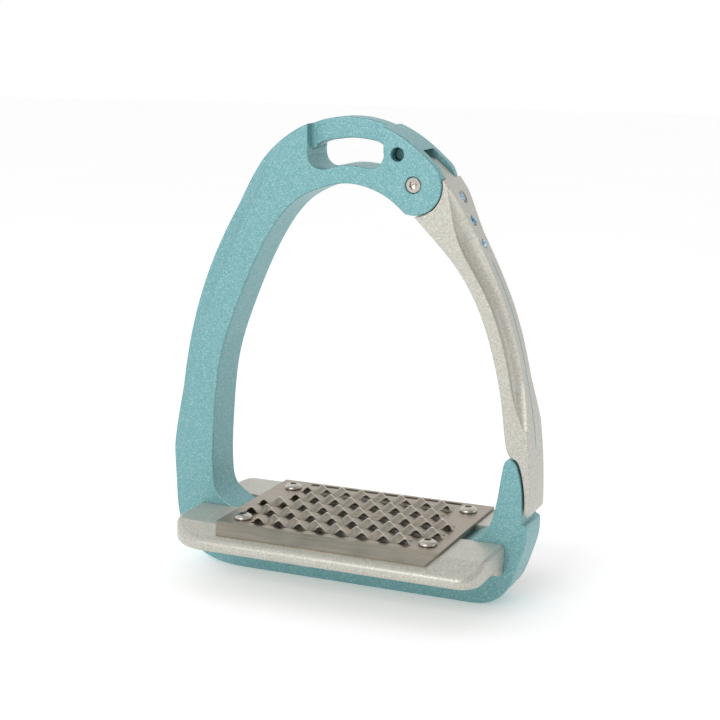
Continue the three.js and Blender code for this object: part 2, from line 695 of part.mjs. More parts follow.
function treadScrew(x, y) {
  const base = TREAD_Z + 0.1;
  const dome = Array.from({ length: 5 }, (_, i) => {
    const turn = (Math.PI / 2) * (i / 5.6);
    return [SCREW_HEAD_R * Math.cos(turn), base + 0.4 + (SCREW_HEAD_H - 0.4) * Math.sin(turn)];
  });
  const tip = TREAD_Z - SCREW_SHANK_LENGTH;
  const solid = turned([
    [0, tip], [SCREW_SHANK_R, tip], [SCREW_SHANK_R, base], [SCREW_HEAD_R, base],
    ...dome, [0, dome[4][1]],
  ]);
  const socket = hexSocket(2.5, 3).rotate([90, 0, 0]).translate([0, 0, base + SCREW_HEAD_H]);
  return solid.subtract(socket).translate([x, y, 0]);
}

// ---- Assembly ----

addPart('frame', frame(), 'paint');
addPart('release_arm', releaseArm(), 'silver');
addPart('footbed_pad', footbedPad(), 'silver');
addPart('tread_plate', treadPlate(), 'stainless');

SCREW_PLACES.forEach(([x, y], i) => {
  addPart(`tread_screw_${i + 1}`, treadScrew(x, y), 'steel');
});
[-PAD_SCREW_X, PAD_SCREW_X].forEach((x, i) => {
  addPart(`pad_screw_${i + 1}`, padScrew(x), 'steel');
});

addPart('pivot_screw', pivotScrew(), 'steel');
addPart('pivot_barrel', pivotBarrel(), 'steel');
addPart('arm_bush', ring(AXLE_R + 0.1, BUSH_R, -TONGUE_HALF, 0.2), 'bronze');
addPart('thrust_washer_front', ring(AXLE_R + 0.15, WASHER_R, -4.9, -4.5), 'bronze');
addPart('thrust_washer_back', ring(AXLE_R + 0.15, WASHER_R, 4.5, 4.9), 'bronze');
addPart('torsion_spring', torsionSpring(), 'steel');
addPart('stop_pin', stopPin(), 'steel');

CRYSTALS.forEach((spec, i) => {
  addPart(`crystal_${i + 1}`, crystal(spec), 'crystal');
});

export default model;
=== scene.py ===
import json
import math

import bmesh
import bpy
import numpy as np
from mathutils import Matrix, Vector, geometry


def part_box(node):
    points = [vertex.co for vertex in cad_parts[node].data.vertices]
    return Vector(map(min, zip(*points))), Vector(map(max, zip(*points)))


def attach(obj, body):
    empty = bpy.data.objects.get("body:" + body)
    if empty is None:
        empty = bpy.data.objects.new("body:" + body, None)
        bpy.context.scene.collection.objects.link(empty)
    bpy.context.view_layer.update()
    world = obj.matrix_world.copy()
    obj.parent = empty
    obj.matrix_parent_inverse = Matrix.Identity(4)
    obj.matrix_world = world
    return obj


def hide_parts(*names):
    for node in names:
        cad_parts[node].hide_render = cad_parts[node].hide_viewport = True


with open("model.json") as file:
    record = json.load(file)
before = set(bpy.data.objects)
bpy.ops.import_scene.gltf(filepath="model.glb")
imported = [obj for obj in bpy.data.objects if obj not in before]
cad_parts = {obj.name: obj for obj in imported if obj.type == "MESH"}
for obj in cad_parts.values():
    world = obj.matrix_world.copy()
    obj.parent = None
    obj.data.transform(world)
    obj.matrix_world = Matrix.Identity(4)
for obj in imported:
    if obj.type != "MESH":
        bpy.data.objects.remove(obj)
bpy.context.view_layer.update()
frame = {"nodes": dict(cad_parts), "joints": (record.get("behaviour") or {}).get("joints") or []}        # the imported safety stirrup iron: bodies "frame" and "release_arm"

# Everything below is made in millimetres; dress() turns each finished piece into metres.
MM = 0.001


def node_box(name):
    """Lowest and highest corner of a CAD node, in millimetres."""
    low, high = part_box(name)
    return np.array(low) / MM, np.array(high) / MM


FRAME_LOW, FRAME_HIGH = node_box("frame")
PAD_LOW, PAD_HIGH = node_box("footbed_pad")
PLATE_HIGH = node_box("tread_plate")[1]
SCREW_LOW, SCREW_HIGH = node_box("tread_screw_1")

FACE = FRAME_HIGH[1]  # half the depth of the frame and the arm
PIVOT = np.array(frame["joints"][0]["pos_m"])[[0, 2]] / MM
KNUCKLE_R = 10.9
SHOULDER_R = 11.35
LUG_R = 11.5
SCREW_SEAT_R, BARREL_SEAT_R, AXLE_HOLE_R = 3.05, 4.15, 2.65
BUSH_BORE_R, SPRING_POCKET_R = 3.6, 6.3
STOP_HOLE, STOP_HOLE_R = (19.3, 163.2), 2.5
TONGUE_R = 9.2
TONGUE_HALF = 4.4
FORK_HALF = 5.0
POCKET_R = 12.4
POCKET_WEB_R = 9.6
BAR_TOP_Z = 17.4  # base bar under the pad
LEDGE_Z = 32.4  # ledge under the arm's foot
FLUTE_DEPTH = 4.2

EYE_LEFT_X, EYE_RIGHT_X = -16.0, 14.0
STRAP_BAR_HALF = 4.0
STRAP_RECESS_Z = 161.5

SCREW_HEAD_R = (SCREW_HIGH[0] - SCREW_LOW[0]) / 2
SCREW_HOLE_R = 1.85
TREAD_SCREWS = range(1, 5)
PAD_SCREW_X = 30
PLATE_T = 0.8
TREAD_Z = PAD_HIGH[2] + PLATE_T + 0.25
PLATE_X = PLATE_HIGH[0]
PLATE_FOLD_Y = 29.4
PLATE_NOSE_Y = PLATE_HIGH[1]
SKIRT_DROP = 3.1
SKIRT_TAPER = 3.15

TOOTH_PITCH = 8.5
TOOTH_T = 0.5
TOOTH_PEAK, TOOTH_VALLEY = 2.5, -0.7  # over the plate's top
TOOTH_X = 0.7  # one of the peaks on the strips' back edges
STRIP_WIDTH = 5.0
STRIP_BACK_Y = -20.9  # back edge of the first strip
ROW_PITCH = 10.6
SLIT_FRONT, SLIT_BACK = 0.6, 0.2
LAST_SLIT_Y = 25.6, 27.8
LIP = 0.34  # slightly raised lip along a strip's back edge; its top is painted bright as a highlight
SHORT_ROW, LONG_ROW = (-32.2, 32.6), (-40.8, 41.2)
ROWS = [SHORT_ROW, LONG_ROW, LONG_ROW, SHORT_ROW, SHORT_ROW]

NOTCH_LEFT_X, NOTCH_RIGHT_X = -44.6, 43.6
PAD_GAP = 0.3
PAD_FOLD_Y = PLATE_FOLD_Y - 0.2  # where the pad's top starts to slope
CREASES = (-0.5, -0.25, 0, 0.25, 0.5)  # lines round the fold that keep its bend smooth


# ---- Curves and outlines, in millimetres ----

def smooth(points, spacing=1.0):
    """Points of a curve of continuous curvature through the given ones."""
    p = np.array(points, float)
    t = np.concatenate([[0], np.cumsum(np.linalg.norm(np.diff(p, axis=0), axis=1))])
    h = np.diff(t)
    n = len(p)
    matrix = np.eye(n)
    right = np.zeros_like(p)
    for i in range(1, n - 1):
        matrix[i, i - 1:i + 2] = h[i - 1], 2 * (h[i - 1] + h[i]), h[i]
        right[i] = 6 * ((p[i + 1] - p[i]) / h[i] - (p[i] - p[i - 1]) / h[i - 1])
    bend = np.linalg.solve(matrix, right)
    made = []
    for i in range(n - 1):
        steps = max(2, int(round(h[i] / spacing)))
        for k in range(steps):
            a, b = (steps - k) / steps, k / steps
            curve = (a ** 3 - a) * bend[i] + (b ** 3 - b) * bend[i + 1]
            made.append(a * p[i] + b * p[i + 1] + curve * h[i] ** 2 / 6)
    made.append(p[-1])
    return made


def arc(centre, radius, start, end, steps):
    """Points of an arc; angles in degrees, counter-clockwise from the first axis."""
    angles = np.radians(np.linspace(start, end, steps + 1))
    return [np.array([centre[0] + radius * math.cos(a), centre[1] + radius * math.sin(a)]) for a in angles]


def from_pivot(radius, angle):
    return arc(PIVOT, radius, angle, angle, 0)[0]


def closed(*stretches):
    """One counter-clockwise outline from stretches of points, with repeated points dropped."""
    points = [np.array(p, float) for stretch in stretches for p in stretch]
    kept = [p for i, p in enumerate(points) if np.linalg.norm(p - points[i - 1]) > 0.02]
    x, z = np.array(kept).T
    area = np.sum(x * np.roll(z, -1) - np.roll(x, -1) * z)
    return kept if area > 0 else kept[::-1]


def inset(outline, distance):
    """The outline moved inwards; edges that this turns round are drawn together to a point."""
    p = np.array(outline)
    edge = np.roll(p, -1, axis=0) - p
    edge /= np.linalg.norm(edge, axis=1)[:, None]
    before = np.roll(edge, 1, axis=0)
    normal = np.stack([-(edge + before)[:, 1], (edge + before)[:, 0]], axis=1)
    normal /= np.maximum(np.linalg.norm(normal, axis=1), 1e-6)[:, None]
    half = np.clip(np.sum(normal * np.stack([-edge[:, 1], edge[:, 0]], axis=1), axis=1), 0.6, 1)
    moved = p + normal * (distance / half)[:, None]
    group = np.arange(len(p))
    for _ in range(8):
        turned = np.sum((np.roll(moved, -1, axis=0) - moved) * edge, axis=1) < -1e-9
        if not turned.any():
            break
        for i in np.flatnonzero(turned):
            group[group == group[(i + 1) % len(p)]] = group[i]
        for name in np.unique(group):
            moved[group == name] = moved[group == name].mean(axis=0)
    return moved


# ---- Meshes ----

def make_object(name, points, faces):
    """A mesh object from points and faces, with its faces pointing out."""
    mesh = bpy.data.meshes.new(name)
    mesh.from_pydata([tuple(float(c) for c in p) for p in points], [], faces)
    work = bmesh.new()
    work.from_mesh(mesh)
    bmesh.ops.delete(work, geom=[v for v in work.verts if not v.link_faces], context="VERTS")
    bmesh.ops.remove_doubles(work, verts=work.verts, dist=1e-4)
    bmesh.ops.recalc_face_normals(work, faces=work.faces)
    if work.calc_volume(signed=True) < 0:
        bmesh.ops.reverse_faces(work, faces=work.faces)
    bmesh.ops.triangulate(work, faces=[face for face in work.faces if len(face.verts) > 4])
    work.to_mesh(mesh)
    work.free()
    made = bpy.data.objects.new(name, mesh)
    bpy.context.scene.collection.objects.link(made)
    return made


def skin_between(rings, count):
    """Faces between one ring and the next, for rings of so many points each."""
    faces = []
    for a in range(0, (rings - 1) * count, count):
        for i in range(count):
            j = (i + 1) % count
            faces.append((a + i, a + j, a + count + j, a + count + i))
    return faces


def loft(name, rings):
    """Skin through rings of 3-D points, closed by a cap at each end."""
    count = len(rings[0])
    faces = skin_between(len(rings), count)
    faces.append(tuple(range(count))[::-1])
    faces.append(tuple(range((len(rings) - 1) * count, len(rings) * count)))
    return make_object(name, [p for ring in rings for p in ring], faces)


def along_y(outline, y):
    return [(p[0], y, p[1]) for p in outline]


def slab(name, outline, y_from, y_to, rounding=0.0, steps=3):
    """Outline in X and Z made solid along Y, with its front and back edges rounded."""
    if rounding == 0:
        return loft(name, [along_y(outline, y_from), along_y(outline, y_to)])
    front, back = [], []
    for i in range(steps + 1):
        turn = math.pi / 2 * i / steps
        moved = inset(outline, rounding * (1 - math.sin(turn)))
        drop = rounding * (1 - math.cos(turn))
        front.append(along_y(moved, y_from + drop))
        back.append(along_y(moved, y_to - drop))
    return loft(name, front + back[::-1])


def hole(name, outline, y_from, y_to, rounding=0.5, steps=3):
    """Cutter for a hole whose rims at both faces are rounded."""
    beyond = 1.0
    front = [along_y(inset(outline, -rounding), y_from - beyond)]
    back = [along_y(inset(outline, -rounding), y_to + beyond)]
    for i in range(steps + 1):
        turn = math.pi / 2 * i / steps
        moved = inset(outline, -rounding * (1 - math.sin(turn)))
        drop = rounding * (1 - math.cos(turn))
        front.append(along_y(moved, y_from + drop))
        back.append(along_y(moved, y_to - drop))
    return loft(name, front + back[::-1])


def circle(radius, sides):
    angles = [2 * math.pi * i / sides for i in range(sides)]
    return [(radius * math.cos(a), radius * math.sin(a)) for a in angles]


def across_y(centre, shape, y):
    return [(centre[0] + u, y, centre[1] + v) for u, v in shape]


def across_z(centre, shape, z):
    return [(centre[0] + u, centre[1] + v, z) for u, v in shape]


def turned_y(name, centre, profile, sides=48):
    """Turned solid about an axis along Y; the profile lists radius and y pairs from axis to axis."""
    return loft(name, [across_y(centre, circle(radius, sides), y) for radius, y in profile])


def turned_z(name, centre, profile, sides=48):
    """Turned solid about a vertical axis; the profile lists radius and z pairs."""
    return loft(name, [across_z(centre, circle(radius, sides), z) for radius, z in profile])


def hex_socket(centre, across_flats, levels, across):
    """Cutter for a hex socket; each level is a scale and a place along the axis."""
    radius = across_flats / math.sqrt(3)
    angles = [math.radians(60 * i + 15) for i in range(6)]
    corners = [(radius * math.cos(a), radius * math.sin(a)) for a in angles]
    return loft("socket", [across(centre, [(x * f, y * f) for x, y in corners], at) for f, at in levels])


def carve(body, *cutters, operation="DIFFERENCE"):
    """Cuts the cutters from the body, or joins them to it, and removes them."""
    for cutter in cutters:
        step = body.modifiers.new("carve", "BOOLEAN")
        step.operation = operation
        step.solver = "MANIFOLD"
        step.object = cutter
    bpy.context.view_layer.update()
    graph = bpy.context.evaluated_depsgraph_get()
    mesh = bpy.data.meshes.new_from_object(body.evaluated_get(graph))
    body.modifiers.clear()
    mesh.materials.clear()
    body.data = mesh
    for cutter in cutters:
        bpy.data.objects.remove(cutter)
    return body


def join(body, *others):
    return carve(body, *others, operation="UNION")


def dress(piece, material, body, replaces=(), angle=32):
    """Shading, material and place in the assembly of a finished piece."""
    mesh = piece.data
    mesh.transform(Matrix.Scale(MM, 4))
    for polygon in mesh.polygons:
        polygon.use_smooth = True
    mesh.set_sharp_from_angle(angle=math.radians(angle))
    if not mesh.materials:
        mesh.materials.append(material)
    weighted = piece.modifiers.new("flat faces stay flat", "WEIGHTED_NORMAL")
    weighted.keep_sharp = True
    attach(piece, body)
    if replaces:
        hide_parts(*replaces)


# ---- Materials ----

class Nodes:
    """A material under construction, with its Principled shader."""

    def __init__(self, name):
        self.material = bpy.data.materials.new(name)
        self.material.use_nodes = True
        self.tree = self.material.node_tree
        self.shader = self.tree.nodes["Principled BSDF"]
        self.place = self.add("ShaderNodeTexCoord").outputs["Object"]

    def add(self, kind, **values):
        node = self.tree.nodes.new(kind)
        for key, value in values.items():
            setattr(node, key, value)
        return node

    def link(self, source, target):
        self.tree.links.new(source, target)

    def stretched(self, scale):
        """Object coordinates scaled by a different number along each axis."""
        mapping = self.add("ShaderNodeMapping")
        mapping.inputs["Scale"].default_value = scale
        self.link(self.place, mapping.inputs["Vector"])
        return mapping.outputs["Vector"]

    def noise(self, per_metre, detail=2.0, where=None):
        node = self.add("ShaderNodeTexNoise")
        node.inputs["Scale"].default_value = per_metre
        node.inputs["Detail"].default_value = detail
        self.link(where or self.place, node.inputs["Vector"])
        return node.outputs["Fac"]

    def flakes(self, per_metre):
        """A random value for each small cell."""
        node = self.add("ShaderNodeTexVoronoi")
        node.inputs["Scale"].default_value = per_metre
        self.link(self.place, node.inputs["Vector"])
        split = self.add("ShaderNodeSeparateColor")
        self.link(node.outputs["Color"], split.inputs["Color"])
        return split.outputs["Red"]

    def ramp(self, source, *stops):
        """Colour ramp; each stop is a position and a colour or a grey level."""
        node = self.add("ShaderNodeValToRGB")
        elements = node.color_ramp.elements
        while len(elements) < len(stops):
            elements.new(0.5)
        for element, (position, colour) in zip(elements, stops):
            element.position = position
            grey = not hasattr(colour, "__len__")
            element.color = (colour, colour, colour, 1) if grey else (*colour, 1)
        self.link(source, node.inputs["Fac"])
        return node.outputs["Color"]

    def blend(self, how, share, a, b):
        node = self.add("ShaderNodeMix", data_type="RGBA", blend_type=how)
        node.inputs["Factor"].default_value = share
        self.link(a, node.inputs["A"])
        self.link(b, node.inputs["B"])
        return node.outputs["Result"]

    def bump(self, height, distance, strength):
        node = self.add("ShaderNodeBump")
        node.inputs["Distance"].default_value = distance
        node.inputs["Strength"].default_value = strength
        self.link(height, node.inputs["Height"])
        return node.outputs["Normal"]

    def set(self, **values):
        """Sockets of the shader, with _ for a space: a number or a colour is set, an output is linked."""
        for key, value in values.items():
            socket = self.shader.inputs[key.replace("_", " ")]
            if isinstance(value, bpy.types.NodeSocket):
                self.link(value, socket)
            else:
                socket.default_value = value


def flake_paint(name, dark, middle, light, metallic, roughness):
    """Satin metallic paint: tiny flakes of different tone, and a fine orange-peel surface."""
    m = Nodes(name)
    flakes = m.ramp(m.flakes(3200), (0.0, dark), (0.4, middle), (0.75, middle), (1.0, light))
    clouds = m.ramp(m.noise(1600, 3), (0.3, 0.44), (0.7, 0.56))
    colour = m.blend("OVERLAY", 0.4, flakes, clouds)
    grain = m.bump(m.noise(2600, 2), 0.00002, 0.5)
    gloss = m.ramp(m.noise(1500, 1), (0.3, roughness - 0.04), (0.7, roughness + 0.06))
    m.set(Base_Color=colour, Metallic=metallic, Roughness=gloss, Normal=grain)
    m.set(Coat_Weight=0.12, Coat_Roughness=0.3)
    return m.material


def sheet_steel(name, colour, spread, roughness, grain_along):
    """Rolled or turned steel: long fine streaks, faint clouding."""
    m = Nodes(name)
    streaks = m.noise(1.0, 4, m.stretched(grain_along))
    clouds = m.noise(90, 3)
    dark = [c * (1 - spread) for c in colour]
    light = [min(1, c * (1 + spread)) for c in colour]
    tone = m.blend("OVERLAY", 0.25, m.ramp(streaks, (0.3, dark), (0.7, light)), clouds)
    gloss = m.ramp(clouds, (0.3, roughness * 0.8), (0.7, roughness * 1.25))
    m.set(Base_Color=tone, Metallic=1.0, Roughness=gloss, Normal=m.bump(streaks, 0.00001, 0.35))
    return m.material


PAINT = flake_paint(
    "teal_flake", (0.11, 0.31, 0.335), (0.185, 0.40, 0.42), (0.34, 0.55, 0.56), 0.35, 0.42,
)
# Near-black teal for the stop pin deep in its hole: painted shade that stands in for the hole's shadow, not
# the pin's own colour.
PIN_SHADE_PAINT = flake_paint(
    "teal_flake_painted_shade", (0.02, 0.08, 0.09), (0.03, 0.11, 0.12), (0.05, 0.16, 0.17), 0.3, 0.5,
)
SILVER = flake_paint(
    "silver_flake", (0.42, 0.40, 0.35), (0.52, 0.51, 0.45), (0.66, 0.65, 0.59), 0.45, 0.4,
)
STAINLESS = sheet_steel("stainless_sheet", (0.38, 0.335, 0.28), 0.12, 0.4, (60, 2500, 2500))
# Much brighter than the sheet steel: painted highlight for the light caught by the strips' rounded cut
# edges.
EDGE_HIGHLIGHT_STEEL = sheet_steel("cut_steel_highlight", (0.80, 0.76, 0.70), 0.1, 0.35, (2500, 2500, 300))
STEEL = sheet_steel("turned_steel", (0.52, 0.49, 0.44), 0.12, 0.26, (900, 900, 3500))
SPRING_STEEL = sheet_steel("spring_steel", (0.30, 0.29, 0.28), 0.15, 0.3, (1500, 1500, 1500))
BRONZE = sheet_steel("bearing_bronze", (0.42, 0.29, 0.13), 0.12, 0.35, (1500, 300, 1500))


def inlay_material():
    m = Nodes("inlay_teal")
    tone = m.ramp(m.noise(1800, 2), (0.3, (0.05, 0.30, 0.33)), (0.7, (0.10, 0.42, 0.45)))
    m.set(Base_Color=tone, Metallic=0.2, Roughness=0.4, Normal=m.bump(m.noise(2500), 0.00002, 0.4))
    return m.material


def crystal_material():
    """Foil-backed cut stone: each facet a slightly different blue."""
    m = Nodes("blue_crystal")
    deep, middle, pale = (0.02, 0.10, 0.20), (0.08, 0.30, 0.48), (0.35, 0.62, 0.80)
    tone = m.ramp(m.flakes(900), (0.0, deep), (0.5, middle), (1.0, pale))
    m.set(Base_Color=tone, Metallic=0.75, Roughness=0.06, IOR=1.6)
    m.set(Coat_Weight=1.0, Coat_Roughness=0.02)
    return m.material


INLAY = inlay_material()
CRYSTAL = crystal_material()


# ---- Frame ----

ARCH_OUTSIDE = [
    (-44, 0), (-58, 1.6), (-67, 6.2), (-73, 15.5), (-74.6, 30), (-75, 46), (-73.2, 65), (-68.3, 91.5),
    (-58.1, 120.8), (-45.3, 144.3), (-33.5, 160.8), (-19.5, 171.6), (0, 175.8), (17, 171.7), (28.7, 164),
    tuple(from_pivot(KNUCKLE_R, 38)),
]
EYE_TOP = [(14, 163), (11.6, 166.2), (6.8, 167.7), (0, 168.2), (-7, 167.4), (-13, 165.9), (-16, 163.5)]
EYE_BELOW = [
    (-16, 163.5), (-14.9, 159), (-10.8, 156.9), (-5.5, 158.1), (0, 158.7), (5, 158.3), (9.6, 158),
    (12.9, 159.9), (14, 163),
]


def frame_outline():
    low, high = FRAME_LOW[[0, 2]], FRAME_HIGH[[0, 2]]
    inside = [
        tuple(from_pivot(KNUCKLE_R, -108)), (15.5, 147.5), (8, 150.8), (-0.9, 152.1), (-9, 150.6),
        (-20.7, 145.2), (-33.1, 130.8), (-46.2, 104.2), (-53.7, 82.9), (-57, 58.3), (-57.8, 36.5),
        (-56.2, 29.4), (-52, 25.7), (-45.2, 22.3),
    ]
    bar_top = [(-45.2, BAR_TOP_Z), (44.2, BAR_TOP_Z)]
    upstand_inside = [(44.2, 21.8), (48.6, 23.9), (53.5, 27), (57.5, 34.8), (59.9, 47.6), (60.9, 53.6)]
    upstand_tip = [(60.9, 53.6), (61.7, 55.4), (63.4, 56.2), (65.3, 55.2), (66.4, 53)]
    upstand_outside = [(66.4, 53), (67.4, 49.5), (68.2, 43), (68.4, 36), (68.2, 33.6)]
    ledge = [(68.4, 32.9), (69, LEDGE_Z), (69.7, 32.1), (70.2, 31.2)]
    right_side = [(70.2, 31.2), (70, 26), (67.7, 17.6), (63, 6.6), (57, 1.5), (48, 0)]
    outline = closed(
        smooth(ARCH_OUTSIDE), arc(PIVOT, KNUCKLE_R, 38, -108, 40), smooth(inside), bar_top,
        smooth(upstand_inside), smooth(upstand_tip, 0.5), smooth(upstand_outside), smooth(ledge, 0.4),
        smooth(right_side),
    )
    return [np.clip(p, low, high) for p in outline]


def cove(name, inner, outer, side, depth=FLUTE_DEPTH, stations=64):
    """Cutter for a cove along an outer edge: a steep wall at the inner line that turns into a floor
    facing front or back at the outer line. It runs out at both ends."""
    def resample(points):
        line = np.array(smooth(points, 0.5))
        run = np.concatenate([[0], np.cumsum(np.linalg.norm(np.diff(line, axis=0), axis=1))])
        where = np.linspace(0, run[-1], stations)
        return np.stack([np.interp(where, run, line[:, k]) for k in (0, 1)], axis=1)

    steps, soft, beyond = 8, 0.3, 1.5
    inner_line, outer_line = resample(inner), resample(outer)
    rings = []
    for k in range(stations):
        a, b = inner_line[k], outer_line[k]
        swell = min(1, math.sin(math.pi * (k + 0.35) / (stations - 0.3)) * 1.7)
        deep = depth * swell
        across = (b - a) / np.linalg.norm(b - a)
        ease = min(soft, deep / 3)
        section = [(-ease, beyond), (-ease, 0), (-ease * 0.3, -ease * 0.25), (0, -ease)]
        width = np.linalg.norm(b - a)
        for i in range(1, steps + 1):
            turn = math.pi / 2 * i / steps
            section.append((width * (1 - math.cos(turn)), -ease - (deep - ease) * math.sin(turn)))
        section += [(width + beyond, -deep), (width + beyond, beyond)]
        rings.append([
            (a[0] + across[0] * u, side * (FACE + v), a[1] + across[1] * u) for u, v in section
        ])
    return loft(name, rings)


def strap_recess():
    """Cutter that opens the arch over the eye, from face to face, for the thinner strap bar."""
    beyond = 2.0
    top = FRAME_HIGH[2] + beyond
    outline = [
        (EYE_LEFT_X, STRAP_RECESS_Z), (EYE_RIGHT_X, STRAP_RECESS_Z), (EYE_RIGHT_X, top), (EYE_LEFT_X, top),
    ]
    return slab("recess", outline, -FACE - beyond, FACE + beyond)


def strap_bar():
    """The bar over the eye, set back from both faces, with a cove where it meets the leg."""
    reach = 1.2
    arch = [p for p in smooth(ARCH_OUTSIDE) if EYE_LEFT_X - reach < p[0] < EYE_RIGHT_X + reach]
    below = [p for p in smooth(EYE_TOP) if p[1] > STRAP_RECESS_Z]
    ends = [(EYE_LEFT_X - reach, 163.5), (EYE_LEFT_X - reach, 170)]
    outline = closed(
        arch, [(EYE_RIGHT_X + reach, 170), (EYE_RIGHT_X + reach, 163)], below, ends,
    )
    outline = [np.minimum(p, FRAME_HIGH[[0, 2]]) for p in outline]
    return slab("strap_bar", outline, -STRAP_BAR_HALF, STRAP_BAR_HALF, 0.6)


def bar_cove(side):
    """Fillet between the bar's face and the leg's end wall."""
    radius = 1.6
    arch = np.array([p for p in smooth(ARCH_OUTSIDE) if -20 < p[0] < -10])
    corner = (EYE_LEFT_X + radius, STRAP_BAR_HALF + radius)
    plan = [(EYE_LEFT_X - 0.6, STRAP_BAR_HALF - 0.6), *arc(corner, radius, 270, 180, 8)]
    plan.append((EYE_LEFT_X - 0.6, corner[1]))
    plan.insert(1, (corner[0], STRAP_BAR_HALF - 0.6))
    bottom, top = [], []
    for x, y in plan:
        bottom.append((x, side * y, 163.8 + 0.45 * (x - EYE_LEFT_X)))
        top.append((x, side * y, float(np.interp(x, arch[:, 0], arch[:, 1])) - 0.25))
    return loft("bar_cove", [bottom, top])


def fork_pocket():
    sector = closed(arc(PIVOT, POCKET_R, -124, 198, 80), [PIVOT])
    web = arc(PIVOT, POCKET_WEB_R, 0, 357.5, 143)
    pocket = slab("pocket", sector, -FORK_HALF, FORK_HALF)
    return join(pocket, slab("web", web, -FORK_HALF, FORK_HALF))


def drilled(name, centre, radius, y_from, y_to, rim=0.25):
    """Cutter for a hole from the front, or from the back where y_to is the back face."""
    beyond = 1.0
    sign = 1 if y_to > y_from else -1
    return turned_y(name, centre, [
        (radius + rim, y_from - sign * beyond), (radius + rim, y_from),
        (radius, y_from + sign * rim), (radius, y_to),
    ])


def build_frame():
    body = slab("frame_casting", frame_outline(), -FACE, FACE, 0.7, 4)
    eye = closed(smooth(EYE_TOP, 0.7), smooth(EYE_BELOW, 0.7))
    carve(body, hole("eye", eye, -FACE, FACE, 0.6), strap_recess())
    join(body, strap_bar(), bar_cove(-1), bar_cove(1))
    leg_inner = [
        (-31.4, 161.6), (-33.5, 154), (-38.4, 144.2), (-49.8, 122.8), (-58.7, 101.7), (-64.8, 82),
        (-68, 66), (-70.3, 55), (-73.6, 44),
    ]
    leg_outer = [
        (-32, 162.5), (-36.5, 157), (-44.2, 146), (-57, 123.2), (-65.2, 102.4), (-70.7, 81.2),
        (-73.2, 65), (-74.3, 55), (-75.2, 44),
    ]
    cutters = [fork_pocket()]
    for side in (-1, 1):
        cutters.append(cove("leg_cove", leg_inner, leg_outer, side))
    cutters.append(drilled("stop_hole", STOP_HOLE, STOP_HOLE_R, -FACE, 6.8))
    cutters.append(drilled("screw_seat", PIVOT, SCREW_SEAT_R, -FACE, -6.4))
    cutters.append(drilled("barrel_seat", PIVOT, BARREL_SEAT_R, FACE, 6.4))
    cutters.append(turned_y("axle_hole", PIVOT, [(AXLE_HOLE_R, -7), (AXLE_HOLE_R, 7)]))
    for x in (-PAD_SCREW_X, PAD_SCREW_X):
        cutters.append(turned_z("pad_screw_seat", (x, 0), [(4.4, -1), (4.4, 0.4), (2.4, 3), (2.4, 21)]))
    carve(body, *cutters)
    dress(body, PAINT, "frame", ["frame"])


# ---- Release arm ----

ARM_OUTSIDE = [
    (37, 155), (38.2, 153.3), (40, 150.7), (43.9, 143.4), (49.3, 132.7), (55.5, 120.1), (60.7, 107.4),
    (64.4, 94.6), (67.2, 81.6), (69.4, 68.8), (70.6, 57), (71.1, 46), (71.2, 39),
]


def arm_outline():
    foot = [(71.2, 39), (71.1, 37), (70.5, 35.5), (69.7, 35.9), (69.1, 38.4)]
    inside = [
        (69.1, 38.4), (69, 43), (68.3, 48.5), (67, 53.8), (65.6, 56.1), (63.6, 57), (62.6, 58.3),
        (61.3, 63.4), (59.6, 77), (55.9, 94.2), (50, 110.8), (40.9, 125.4), (31.4, 135.6),
        tuple(from_pivot(SHOULDER_R, -88)),
    ]
    return closed(smooth(ARM_OUTSIDE), smooth(foot, 0.4), smooth(inside), [(28, 146), (33, 152)])


def tongue_outline():
    return closed(
        arc(PIVOT, TONGUE_R, 60, 322, 80),
        [(40, 139), (42, 143), (38.6, 150), (36.2, 155), (33.4, 157.7)],
    )


def build_arm():
    cove_inner = [
        (38.4, 151.6), (39.6, 146), (40.8, 139.8), (43.1, 132.4), (48.4, 123), (53.9, 113.4),
        (58.3, 102.7), (61.9, 89.2), (64.4, 77.6), (68.6, 67),
    ]
    cove_outer = [
        (39.4, 151.6), (42.3, 146.6), (45.5, 140.4), (49.6, 132.3), (54.3, 122.7), (58.4, 113.3),
        (62.3, 102.2), (65.7, 89), (68, 77.3), (69.9, 67),
    ]
    body = slab("arm_casting", arm_outline(), -FACE, FACE, 0.5)
    shoulder = turned_y("shoulder", PIVOT, [(SHOULDER_R, -FACE - 1), (SHOULDER_R, FACE + 1)], 160)
    coves = [cove("arm_cove", cove_inner, cove_outer, side) for side in (-1, 1)]
    carve(body, shoulder, *coves)
    lug = closed(arc(PIVOT, LUG_R, 133.5, 150, 8), [PIVOT])
    tongue = slab("tongue", tongue_outline(), -TONGUE_HALF, TONGUE_HALF)
    join(body, tongue, slab("lug", lug, -TONGUE_HALF, 0))
    cutters = [
        turned_y("bush_bore", PIVOT, [(BUSH_BORE_R, -TONGUE_HALF - 1), (BUSH_BORE_R, TONGUE_HALF)]),
        turned_y("spring_pocket", PIVOT, [(SPRING_POCKET_R, 0.3), (SPRING_POCKET_R, TONGUE_HALF + 1)]),
    ]
    for stone in CRYSTALS:
        radius = stone["diameter"] / 2
        wall, rim = radius + 0.15, radius + 0.45
        seat = [(0.1, -2.2), (wall, -1.1), (wall, -0.2), (rim, 0.1), (rim, 2)]
        cutters.append(seated(turned_z("seat", (0, 0), seat, 32), stone))
    carve(body, *cutters)
    dress(body, SILVER, "release_arm", ["release_arm"])


CRYSTALS = [
    {"x": 40.9, "z": 148.2, "tilt": 29, "diameter": 4.2},
    {"x": 45.5, "z": 140.2, "tilt": 27, "diameter": 3.6},
    {"x": 49.6, "z": 132.2, "tilt": 26.5, "diameter": 3.1},
]


def seated(piece, stone):
    """Turns a piece made about Z at the origin to stand on the arm's outer side."""
    turn = Matrix.Rotation(math.radians(90 - stone["tilt"]), 4, "Y")
    place = Matrix.Translation((stone["x"], 0, stone["z"]))
    piece.data.transform(place @ turn)
    return piece


